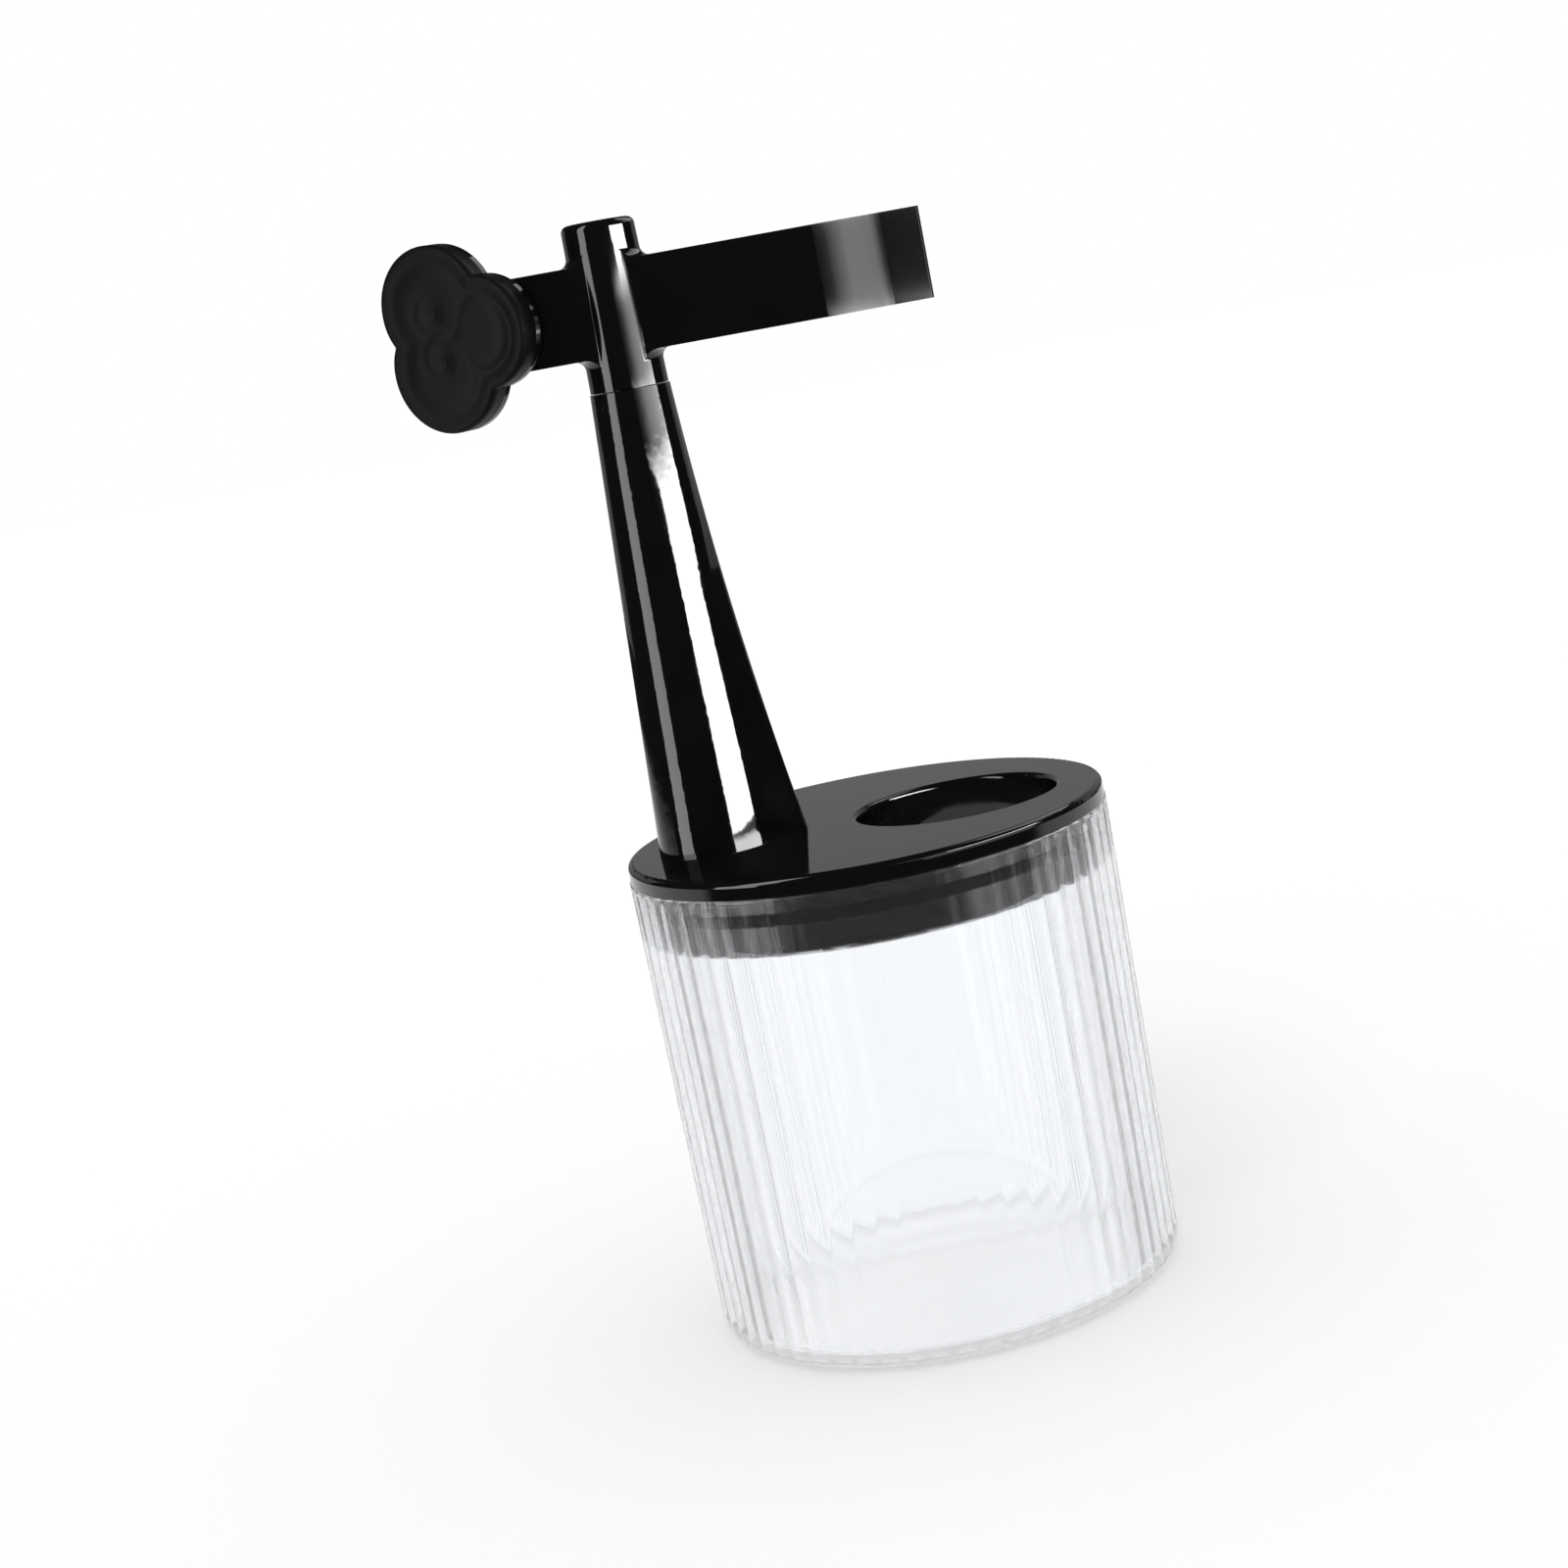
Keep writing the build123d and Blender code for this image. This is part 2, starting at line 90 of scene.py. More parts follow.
# The ribbed cup, in millimetres
CUP_HEIGHT_MM = 79.0
CUP_RADIUS_MM = 40.2
CUP_DRAFT = 0.5
CUP_WALL_MM = 2.4
CUP_BASE_MM = 2.0
CUP_CORNER_MM = 3.2
CUP_FLOOR_CORNER_MM = 1.8
CORNER_MARGIN_MM = 0.05
LIP_BAND_MM = 0.9
LIP_ROUND_MM = 0.4
BORE_ROUND_MM = 0.15
LIP_DROP_MM = 0.02
RIBS = 60
STEPS_PER_RIB = 12
RIB_DEPTH_MM = 0.45
NO_RIB = 1.0

# The trefoil's front, in millimetres
TREFOIL_TURN = 33.0
LOBE_RADII_MM = (9.0, 10.1, 10.1)
LOBE_OFFSET_MM = 5.5
FACE_BACK_MM = 5.6
FACE_THICKNESS_MM = 3.6
FACE_EDGE_MM = 0.8
FACE_SINK_MM = 0.25
FACE_SPOKES = 330
FACE_RINGS = 52
EDGE_INSETS_MM = (0.0, 0.02, 0.08, 0.18, 0.32, 0.5, 0.7, 0.95, 1.2)

# The relief of the trefoil's front, in millimetres: a valley inside the rim, a crease between the two left
# lobes, a crown in the middle, and two cloud curls, each with the place of its eye and its hand
VALLEY_DEPTH_MM = 0.09
VALLEY_RIGHT_MM = 0.22
VALLEY_INSET_MM = 2.7
VALLEY_WIDTH_MM = 0.85
CREASE_DEPTH_MM = 0.12
CREASE_WIDTH_MM = 1.1
CROWN_HEIGHT_MM = 0.22
CURLS_MM = (((-2.36, 4.34), 1), ((-2.06, -3.33), -1))
BOWL_DEPTH_MM = 0.34
BOWL_REACH_MM = (0.6, 2.9)
EYE_DEPTH_MM = 0.30
EYE_WIDTH_MM = 0.6
GROOVE_DEPTH_MM = 0.09
GROOVE_WIDTH_MM = 0.75
GROOVE_START_MM = 2.1
GROOVE_GROWTH_MM = 0.55
GROOVE_LAPS = 2
GROOVE_OPENS = (0.4, 1.8)
GROOVE_CLOSES = (4.6, 7.0)


class Tree:
    """A node tree that is written from its result backwards, one call for each node."""

    def __init__(self, tree):
        self.tree = tree
        tree.nodes.clear()

    def add(self, kind, inputs=None, **settings):
        """A node with its settings, and its inputs either linked to a socket or set to a value."""
        node = self.tree.nodes.new(kind)
        for name, value in settings.items():
            setattr(node, name, value)
        for key, value in (inputs or {}).items():
            if isinstance(value, bpy.types.NodeSocket):
                self.tree.links.new(value, node.inputs[key])
            else:
                node.inputs[key].default_value = value
        return node

    def math(self, operation, *values, clamp=False):
        """The result of one sum."""
        inputs = dict(enumerate(values))
        return self.add("ShaderNodeMath", inputs, operation=operation, use_clamp=clamp).outputs[0]

    def noise(self, place, scale, detail=3.0, roughness=0.5):
        """A soft pattern between 0 and 1."""
        inputs = {"Vector": place, "Scale": scale, "Detail": detail, "Roughness": roughness}
        return self.add("ShaderNodeTexNoise", inputs).outputs["Fac"]

    def spread(self, value, low, high, new_low, new_high):
        """A value moved from one range to another and held inside it."""
        inputs = {"Value": value, "From Min": low, "From Max": high, "To Min": new_low, "To Max": new_high}
        return self.add("ShaderNodeMapRange", inputs).outputs["Result"]

    def turn_spread(self, turn, low, high, new_low, new_high):
        """A turn in radians, moved from a range in degrees to another range."""
        return self.spread(turn, math.radians(low), math.radians(high), new_low, new_high)

    def blend(self, share, first, second):
        """A colour between two colours."""
        node = self.add("ShaderNodeMix", data_type="RGBA")
        for index, value in ((0, share), (6, first), (7, second)):
            if isinstance(value, bpy.types.NodeSocket):
                self.tree.links.new(value, node.inputs[index])
            else:
                node.inputs[index].default_value = value
        return node.outputs[2]


def make_camera():
    """The camera of the photograph, turned a little about its own axis."""
    yaw, pitch, roll = (math.radians(a) for a in (CAMERA_YAW, CAMERA_PITCH, CAMERA_ROLL))
    ahead = Vector((math.sin(yaw) * math.cos(pitch), math.cos(yaw) * math.cos(pitch), math.sin(pitch)))
    level = Vector((math.cos(yaw), -math.sin(yaw), 0))
    above = level.cross(ahead)
    right = level * math.cos(roll) + above * math.sin(roll)
    upward = above * math.cos(roll) - level * math.sin(roll)
    data = bpy.data.cameras.new("photo_camera")
    data.sensor_width = SENSOR_WIDTH
    data.lens = FOCAL_PIXELS / FRAME_PIXELS * SENSOR_WIDTH
    data.shift_x = 0.5 - AXIS_PIXEL[0] / FRAME_PIXELS
    data.shift_y = AXIS_PIXEL[1] / FRAME_PIXELS - 0.5
    data.clip_start = 0.01
    camera = bpy.data.objects.new("photo_camera", data)
    turn = Matrix((right, upward, -ahead)).transposed()
    camera.matrix_world = Matrix.Translation(CAMERA_PLACE) @ turn.to_4x4()
    bpy.context.scene.collection.objects.link(camera)
    bpy.context.scene.camera = camera


def surroundings():
    """What a mirrored ray meets beyond a place: as one level, and as seen back out through the clear cup."""
    group, t = new_group("surroundings", {}, ["Mirrored", "Through"], ["Place"])
    given = t.add("NodeGroupInput").outputs["Place"]
    place = t.add("ShaderNodeSeparateXYZ", {0: given}).outputs
    behind = t.spread(place["Y"], -0.04, 0.06, 0.0, 1.0)
    turn = t.math("ARCTAN2", place["X"], t.math("MULTIPLY", place["Y"], -1.0))
    sides = []
    for (start, full, falling, end), strength in THROUGH_SIDES:
        rise = t.turn_spread(turn, start, full, 0.0, 1.0)
        fall = t.turn_spread(turn, falling, end, 1.0, 0.0)
        sides.append(t.math("MULTIPLY", t.math("MULTIPLY", rise, fall), strength))
    plain = t.spread(behind, 0.0, 1.0, THROUGH_FRONT, THROUGH_BEHIND)
    through = t.math("ADD", plain, t.math("ADD", *sides))
    distance = t.add("ShaderNodeVectorMath", {0: given}, operation="LENGTH").outputs["Value"]
    close = t.spread(distance, 0.55, 0.9, 1.0, 0.0)
    near_floor = t.math("MULTIPLY", t.spread(place["Y"], -0.08, -0.03, 0.0, 1.0), close)
    mirrored = t.math("MULTIPLY_ADD", near_floor, BACK_LIGHT, DARK_ROOM)
    t.add("NodeGroupOutput", {"Mirrored": mirrored, "Through": through})
    return group


class Ray:
    """What kind of ray has met the world or the floor."""

    def __init__(self, tree):
        path = tree.add("ShaderNodeLightPath").outputs
        self.camera = path["Is Camera Ray"]
        self.diffuse = path["Is Diffuse Ray"]
        self.through = path["Is Transmission Ray"]
        self.in_wall = tree.math("LESS_THAN", path["Transmission Depth"], 2.5)
        self.unmirrored = tree.math("LESS_THAN", path["Glossy Depth"], 0.5)
        self.mirrored = tree.math("SUBTRACT", 1.0, self.unmirrored)
        outside = tree.math("SUBTRACT", 1.0, self.through)
        self.gloss = tree.math("MULTIPLY", path["Is Glossy Ray"], outside)


def make_world():
    """White where it is seen, also through the cup, plain light on surfaces, and dark in the gloss."""
    world = bpy.data.worlds.new("white_studio")
    world.use_nodes = True
    world.cycles.sampling_method = "NONE"
    t = Tree(world.node_tree)
    ray = Ray(t)
    direction = t.add("ShaderNodeTexCoord").outputs["Generated"]
    place = t.add("ShaderNodeVectorMath", {0: direction, "Scale": WORLD_REACH}, operation="SCALE").outputs[0]
    around = effect(t, "surroundings", {"Place": place})
    seen = t.math("ADD", ray.camera, t.math("MULTIPLY", ray.through, ray.unmirrored), clamp=True)
    lit = t.math("MULTIPLY_ADD", ray.diffuse, ROOM_LIGHT, seen)
    through = t.spread(ray.in_wall, 0.0, 1.0, around["Through"], WALL_LIGHT)
    inner = t.math("MULTIPLY", t.math("MULTIPLY", ray.through, ray.mirrored), through)
    gloss = t.math("MULTIPLY", ray.gloss, DARK_ROOM)
    strength = t.math("ADD", t.math("ADD", lit, inner), gloss)
    background = t.add("ShaderNodeBackground", {"Color": (1, 1, 1, 1), "Strength": strength})
    t.add("ShaderNodeOutputWorld", {"Surface": background.outputs[0]})
    bpy.context.scene.world = world


def floor_material():
    """A pale floor that keeps the shadow, is white through the cup, and stays out of the front's gloss."""
    material = bpy.data.materials.new("pale_floor")
    material.use_nodes = True
    t = Tree(material.node_tree)
    ray = Ray(t)
    place = t.add("ShaderNodeTexCoord").outputs["Object"]
    around = effect(t, "surroundings", {"Place": place})
    paint = t.add("ShaderNodeBsdfDiffuse", {"Color": (FLOOR_TONE, FLOOR_TONE, FLOOR_TONE, 1)})
    lift = t.math("MULTIPLY", ray.camera, FLOOR_LIFT)
    glow = t.add("ShaderNodeEmission", {"Color": (1, 1, 1, 1), "Strength": lift})
    plain = t.add("ShaderNodeAddShader", {0: paint.outputs[0], 1: glow.outputs[0]})
    through = t.spread(ray.in_wall, 0.0, 1.0, around["Through"], WALL_LIGHT)
    inner = t.math("MULTIPLY_ADD", ray.mirrored, through, ray.unmirrored)
    seen = t.math("MULTIPLY", ray.through, inner)
    level = t.math("MULTIPLY_ADD", ray.gloss, around["Mirrored"], seen)
    told = t.add("ShaderNodeEmission", {"Color": (0.975, 0.985, 1, 1), "Strength": level})
    share = t.math("ADD", ray.through, ray.gloss, clamp=True)
    surface = t.add("ShaderNodeMixShader", {0: share, 1: plain.outputs[0], 2: told.outputs[0]})
    t.add("ShaderNodeOutputMaterial", {"Surface": surface.outputs[0]})
    return material


def new_piece(name, points, faces, smooth=True):
    """A mesh object at the origin."""
    mesh = bpy.data.meshes.new(name)
    mesh.from_pydata(points, [], faces)
    mesh.validate()
    for polygon in mesh.polygons:
        polygon.use_smooth = smooth
    piece = bpy.data.objects.new(name, mesh)
    bpy.context.scene.collection.objects.link(piece)
    return piece


def make_floor():
    """A wide plain floor just under the cup."""
    reach = FLOOR_REACH
    corners = [(x * reach, y * reach, -FLOOR_DROP) for x, y in ((-1, -1), (1, -1), (1, 1), (-1, 1))]
    floor = new_piece("studio_floor", corners, [(0, 1, 2, 3)], smooth=False)
    floor.data.materials.append(floor_material())


def panel_material(name, strength, near_fade):
    """A lit panel that is seen in reflections only, dim in a second mirror and dim close by."""
    material = bpy.data.materials.new(name)
    material.use_nodes = True
    t = Tree(material.node_tree)
    path = t.add("ShaderNodeLightPath").outputs
    direct = t.math("LESS_THAN", path["Diffuse Depth"], 0.5)
    place = t.add("ShaderNodeSeparateXYZ", {0: t.add("ShaderNodeTexCoord").outputs["Object"]}).outputs
    upper = t.spread(place["Z"], *SECOND_MIRROR_HEIGHTS, 0.0, 1.0)
    second = t.math("MULTIPLY", t.spread(path["Glossy Depth"], 1.2, 1.8, 0.0, 1.0), upper)
    first = t.spread(second, 0.0, 1.0, 1.0, SECOND_MIRROR)
    level = t.math("MULTIPLY", t.math("MULTIPLY", direct, first), strength)
    if near_fade:
        near = t.spread(path["Ray Length"], *NEAR_FADE, FADED_LEVEL, 1.0)
        far = t.spread(path["Ray Length"], *FAR_FADE, 1.0, FADED_LEVEL)
        level = t.math("MULTIPLY", level, t.math("MINIMUM", near, far))
    painted = t.add("ShaderNodeAttribute", attribute_name="level").outputs["Fac"]
    level = t.math("MULTIPLY", level, painted)
    glow = t.add("ShaderNodeEmission", {"Color": (1, 1, 1, 1), "Strength": level})
    t.add("ShaderNodeOutputMaterial", {"Surface": glow.outputs[0]})
    material.cycles.emission_sampling = "NONE"
    return material


def make_panel(name, strength, rows, distance=PANEL_DISTANCE, near_fade=False):
    """An upright curved panel round the column. A row is a height and its turns with their levels."""
    centre_x = frame_joint("head_swivel").x
    points = []
    levels = []
    faces = []
    for height, stops in rows:
        for (turn, level), (next_turn, next_level) in zip(stops, stops[1:]):
            for step in range(PANEL_STEPS):
                share = step / PANEL_STEPS
                points.append((turn + (next_turn - turn) * share, height))
                levels.append(level + (next_level - level) * share)
        points.append((stops[-1][0], height))
        levels.append(stops[-1][1])
    columns = len(points) // len(rows)
    for row in range(len(rows) - 1):
        for column in range(columns - 1):
            corner = row * columns + column
            faces.append((corner, corner + 1, corner + columns + 1, corner + columns))
    turned = [(math.radians(turn), height) for turn, height in points]
    placed = [(centre_x + distance * math.sin(a), -distance * math.cos(a), height) for a, height in turned]
    panel = new_piece(name, placed, faces)
    attribute = panel.data.attributes.new("level", "FLOAT", "POINT")
    attribute.data.foreach_set("value", levels)
    panel.data.materials.append(panel_material(name, strength, near_fade))
    panel.visible_camera = False
    panel.visible_diffuse = False
    panel.visible_transmission = False
    panel.visible_shadow = False


def frame_joint(name):
    """The place of a joint at rest."""
    found = [joint for joint in frame["joints"] if joint["name"] == name]
    return Vector(found[0]["pos_m"])


def make_lamp():
    """One wide soft lamp for the shadow. It isn't seen in the gloss."""
    data = bpy.data.lights.new("soft_lamp", "SUN")
    data.energy = LAMP_LIGHT
    data.angle = math.radians(LAMP_SPREAD)
    lamp = bpy.data.objects.new("soft_lamp", data)
    lamp.rotation_euler = (math.radians(LAMP_TILT[0]), math.radians(LAMP_TILT[1]), 0)
    lamp.visible_glossy = False
    lamp.visible_transmission = False
    bpy.context.scene.collection.objects.link(lamp)


def make_studio():
    """The floor, the room, the lamp and the panels that the gloss shows."""
    make_world()
    make_floor()
    make_lamp()
    foot = ((26, 1), (27, 1), (28, 1), (30, 1), (77, 1))
    below = ((26, 1), (27, 1), (28, 1), (30, 1), (84, 1))
    beside_bar = ((8, 0), (20, 0.02), (33, 0.10), (39, 0.15), (84, 0.34))
    above = ((38, 1), (38.5, 1), (39, 1), (40, 1), (86, 1))
    dim = tuple((turn, 0.03) for turn, _ in above)
    rows = [(PANEL_FOOT, foot), (0.12, foot), (0.13, below), (0.152, below), (0.162, beside_bar)]
    rows += [(0.183, beside_bar), (0.189, above), (0.207, above), (0.209, dim), (0.30, dim)]
    make_panel("right_panel", RIGHT_PANEL_LIGHT, rows, near_fade=True)
    below = ((-74, 1), (-51, 1))
    middle = ((-73, 1), (-48, 1))
    above = ((-64, 1), (-42, 1))
    rows = [(PANEL_FOOT, below), (0.150, middle), (0.190, above), (0.60, above)]
    make_panel("left_panel", LEFT_PANEL_LIGHT, rows)
    high = ((95, 0), (105, 1), (150, 1))
    make_panel("high_right_panel", HIGH_PANEL_LIGHT, [(0.25, high), (0.60, high)])
    behind = ((125, 1), (180, 1), (235, 1))
    rows = [(0.085, behind), (0.30, behind)]
    make_panel("back_panel", BACK_PANEL_LIGHT, rows, distance=BACK_PANEL_DISTANCE)


def quarter_turns(steps):
    """The angles of a quarter round in equal steps."""
    return [math.radians(90 * step / steps) for step in range(steps + 1)]


def cup_profile():
    """Radius, height and rib crest of each row, from the underside's middle to the floor's middle."""
    slope = math.tan(math.radians(CUP_DRAFT))
    top = CUP_HEIGHT_MM - LIP_DROP_MM
    no_rib = NO_RIB / MM

    def crest(z):
        return CUP_RADIUS_MM - (CUP_HEIGHT_MM - z) * slope

    def bore(z):
        return crest(z) - CUP_WALL_MM

    base_radius = crest(0) + CORNER_MARGIN_MM
    rows = [(r, 0, no_rib) for r in (0, 12, 24, 31, 35, base_radius - CUP_CORNER_MM - 0.2)]
    for turn in quarter_turns(16):
        r = base_radius - CUP_CORNER_MM * (1 - math.sin(turn))
        z = CUP_CORNER_MM * (1 - math.cos(turn))
        rows.append((r + slope * z, z, crest(z)))
    rib_top = CUP_HEIGHT_MM - LIP_BAND_MM
    for z in (3.5, 4.2, 6, 9, 14, 20, 28, 36, 44, 52, 60, 67, 72, 75, 77, rib_top - 0.12, rib_top - 0.03):
        rows.append((crest(z) + CORNER_MARGIN_MM, z, crest(z)))
    rows += [(CUP_RADIUS_MM, z, no_rib) for z in (rib_top, rib_top + 0.1, rib_top + 0.3)]
    for turn in quarter_turns(6):
        r = CUP_RADIUS_MM - LIP_ROUND_MM * (1 - math.cos(turn))
        rows.append((r, top - LIP_ROUND_MM * (1 - math.sin(turn)), no_rib))
    for turn in quarter_turns(5):
        r = bore(top) + BORE_ROUND_MM * (1 - math.sin(turn))
        rows.append((r, top - BORE_ROUND_MM * (1 - math.cos(turn)), no_rib))
    floor_turn = CUP_BASE_MM + CUP_FLOOR_CORNER_MM
    for z in (top - 0.4, 76, 68, 58, 48, 38, 28, 18, 11, floor_turn + 0.3):
        rows.append((bore(z), z, no_rib))
    for turn in quarter_turns(10):
        r = bore(floor_turn) - CUP_FLOOR_CORNER_MM * (1 - math.cos(turn))
        rows.append((r, floor_turn - CUP_FLOOR_CORNER_MM * math.sin(turn), no_rib))
    rows += [(r, CUP_BASE_MM, no_rib) for r in (34.5, 31, 24, 12, 0)]
    return [(r * MM, z * MM, rib * MM) for r, z, rib in rows]


def ribbed_turning():
    """Geometry nodes that turn a profile about Z and press a row of ribs into it."""
    tree = bpy.data.node_groups.new("ribbed_turning", "GeometryNodeTree")
    named = {"Profile": "Geometry", "Ribs": "Int", "Steps": "Int", "Rib depth": "Float"}
    named["Material"] = "Material"
    for name, kind in named.items():
        tree.interface.new_socket(name, in_out="INPUT", socket_type=f"NodeSocket{kind}")
    tree.interface.new_socket("Turned", in_out="OUTPUT", socket_type="NodeSocketGeometry")
    t = Tree(tree)
    given = t.add("NodeGroupInput").outputs
    rows = t.add("GeometryNodeAttributeDomainSize", {0: given["Profile"]}).outputs["Point Count"]
    columns = t.math("MULTIPLY_ADD", given["Ribs"], given["Steps"], 1.0)
    sheet = t.add("GeometryNodeMeshGrid", {0: 1.0, 1: 1.0, "Vertices X": columns, "Vertices Y": rows})
    place = t.add("ShaderNodeSeparateXYZ", {0: t.add("GeometryNodeInputPosition").outputs[0]}).outputs
    around = t.math("ADD", place["X"], 0.5)
    last_row = t.math("SUBTRACT", rows, 1.0)
    row = t.math("ROUND", t.math("MULTIPLY", t.math("ADD", place["Y"], 0.5), last_row))
    named_crest = t.add("GeometryNodeInputNamedAttribute", {"Name": "crest"}, data_type="FLOAT")
    crest = named_crest.outputs["Attribute"]
    sampled = []
    for value, kind in ((t.add("GeometryNodeInputPosition").outputs[0], "FLOAT_VECTOR"), (crest, "FLOAT")):
        sampler = t.add("GeometryNodeSampleIndex", data_type=kind, domain="POINT")
        t.tree.links.new(given["Profile"], sampler.inputs["Geometry"])
        t.tree.links.new(value, sampler.inputs["Value"])
        t.tree.links.new(row, sampler.inputs["Index"])
        sampled.append(sampler.outputs["Value"])
    profile = t.add("ShaderNodeSeparateXYZ", {0: sampled[0]}).outputs
    shift = t.math("FRACT", t.math("MULTIPLY_ADD", around, given["Ribs"], 0.5))
    off_crest = t.math("MULTIPLY_ADD", shift, 2.0, -1.0)
    dip = t.math("MULTIPLY", given["Rib depth"], t.math("MULTIPLY", off_crest, off_crest))
    radius = t.math("MINIMUM", profile["X"], t.math("SUBTRACT", sampled[1], dip))
    angle = t.math("MULTIPLY", around, 2 * math.pi)
    x = t.math("MULTIPLY", radius, t.math("COSINE", angle))
    y = t.math("MULTIPLY", radius, t.math("SINE", angle))
    turned = t.add("ShaderNodeCombineXYZ", {"X": x, "Y": y, "Z": profile["Z"]}).outputs[0]
    shaped = t.add("GeometryNodeSetPosition", {0: sheet.outputs["Mesh"], "Position": turned}).outputs[0]
    closed = t.add("GeometryNodeMergeByDistance", {0: shaped, "Distance": 1e-6}).outputs[0]
    smooth = t.add("GeometryNodeSetShadeSmooth", {0: closed}).outputs[0]
    real = t.add("GeometryNodeRealizeInstances", {0: smooth}).outputs[0]
    finished = t.add("GeometryNodeSetMaterial", {0: real, "Material": given["Material"]}).outputs[0]
    t.add("NodeGroupOutput", {0: finished})
    return tree


def make_cup(material):
    """The clear cup, turned from its profile with sixty ribs."""
    rows = cup_profile()
    mesh = bpy.data.meshes.new("cup_profile")
    mesh.from_pydata([(r, 0, z) for r, z, _ in rows], [(i, i + 1) for i in range(len(rows) - 1)], [])
    attribute = mesh.attributes.new("crest", "FLOAT", "POINT")
    attribute.data.foreach_set("value", [rib for _, _, rib in rows])
    turner = bpy.data.objects.new("cup_turner", mesh)
    bpy.context.scene.collection.objects.link(turner)
    modifier = turner.modifiers.new("turning", "NODES")
    modifier.node_group = ribbed_turning()
    sizes = {"Ribs": RIBS, "Steps": STEPS_PER_RIB, "Rib depth": RIB_DEPTH_MM * MM, "Material": material}
    for item in modifier.node_group.interface.items_tree:
        if item.name in sizes:
            modifier[item.identifier] = sizes[item.name]
    seen = bpy.context.evaluated_depsgraph_get()
    finished = bpy.data.meshes.new_from_object(turner.evaluated_get(seen))
    bpy.data.objects.remove(turner)
    cup = bpy.data.objects.new("ribbed_cup", finished)
    bpy.context.scene.collection.objects.link(cup)
    cup.visible_shadow = False
    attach(cup, "cup_body")
    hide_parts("cup")


def lobe_places():
    """Middle and radius of each of the three lobes in the plane of the trefoil, in millimetres."""
    turns = [2 * math.pi * i / 3 for i in range(3)]
    middles = [(LOBE_OFFSET_MM * math.cos(turn), LOBE_OFFSET_MM * math.sin(turn)) for turn in turns]
    return [(x, y, radius) for (x, y), radius in zip(middles, LOBE_RADII_MM)]


def trefoil_reach(turn):
    """How far the outline lies from the trefoil's middle in one direction, in millimetres."""
    reaches = []
    for i, radius in enumerate(LOBE_RADII_MM):
        away = turn - 2 * math.pi * i / 3
        across = LOBE_OFFSET_MM * math.sin(away)
        if abs(across) < radius:
            reaches.append(LOBE_OFFSET_MM * math.cos(away) + math.sqrt(radius**2 - across**2))
    return max(reaches)


def soft_step(low, high, value):
    """0 below low, 1 above high, and a smooth rise between them."""
    share = min(1.0, max(0.0, (value - low) / (high - low)))
    return share * share * (3 - 2 * share)


def soft_max(values, softness):
    """The largest value, with the folds between its neighbours rounded."""
    top = max(values)
    return top + softness * math.log(sum(math.exp((v - top) / softness) for v in values))


def curl_dip(x, y, eye, hand):
    """Depth of a cloud curl at a point: a small bowl with an eye, and a groove that winds out of it."""
    dx = x - eye[0]
    dy = (y - eye[1]) * hand
    away = math.hypot(dx, dy)
    turn = math.atan2(dy, dx) % (2 * math.pi)
    bowl = BOWL_DEPTH_MM * (1 - soft_step(*BOWL_REACH_MM, away))
    point = EYE_DEPTH_MM * math.exp(-((away / EYE_WIDTH_MM) ** 2))
    groove = 0.0
    for lap in range(GROOVE_LAPS):
        wound = turn + 2 * math.pi * lap
        line = GROOVE_START_MM + GROOVE_GROWTH_MM * wound
        share = soft_step(*GROOVE_OPENS, wound) * (1 - soft_step(*GROOVE_CLOSES, wound))
        across = math.exp(-(((away - line) / GROOVE_WIDTH_MM) ** 2))
        groove = max(groove, GROOVE_DEPTH_MM * share * across)
    return bowl + point + groove


def face_height(x, y):
    """Height of the trefoil's front over its flat back, in millimetres."""
    insets = [r - math.hypot(x - cx, y - cy) for cx, cy, r in lobe_places()]
    edge = max(insets)
    rounding = 0.0
    if edge < FACE_EDGE_MM:
        rounding = FACE_EDGE_MM - math.sqrt(max(0.0, FACE_EDGE_MM**2 - (FACE_EDGE_MM - edge) ** 2))
    inset = soft_max(insets, 0.35)
    right_share = soft_step(2.0, 7.0, x)
    valley_depth = VALLEY_DEPTH_MM + VALLEY_RIGHT_MM * right_share
    valley = valley_depth * math.exp(-(((inset - VALLEY_INSET_MM) / VALLEY_WIDTH_MM) ** 2))
    fold = soft_max([-abs(insets[1] - insets[2]) - 0.9 * max(0.0, x + 2.0), -9.0], 0.3)
    crease = CREASE_DEPTH_MM * math.exp(-((fold / CREASE_WIDTH_MM) ** 2)) * (1 - soft_step(2.0, 6.0, inset))
    crown = CROWN_HEIGHT_MM * soft_step(2.8, 5.5, inset)
    dip = sum(curl_dip(x, y, eye, hand) for eye, hand in CURLS_MM)
    return FACE_THICKNESS_MM - FACE_SINK_MM + crown - rounding - valley - crease - dip


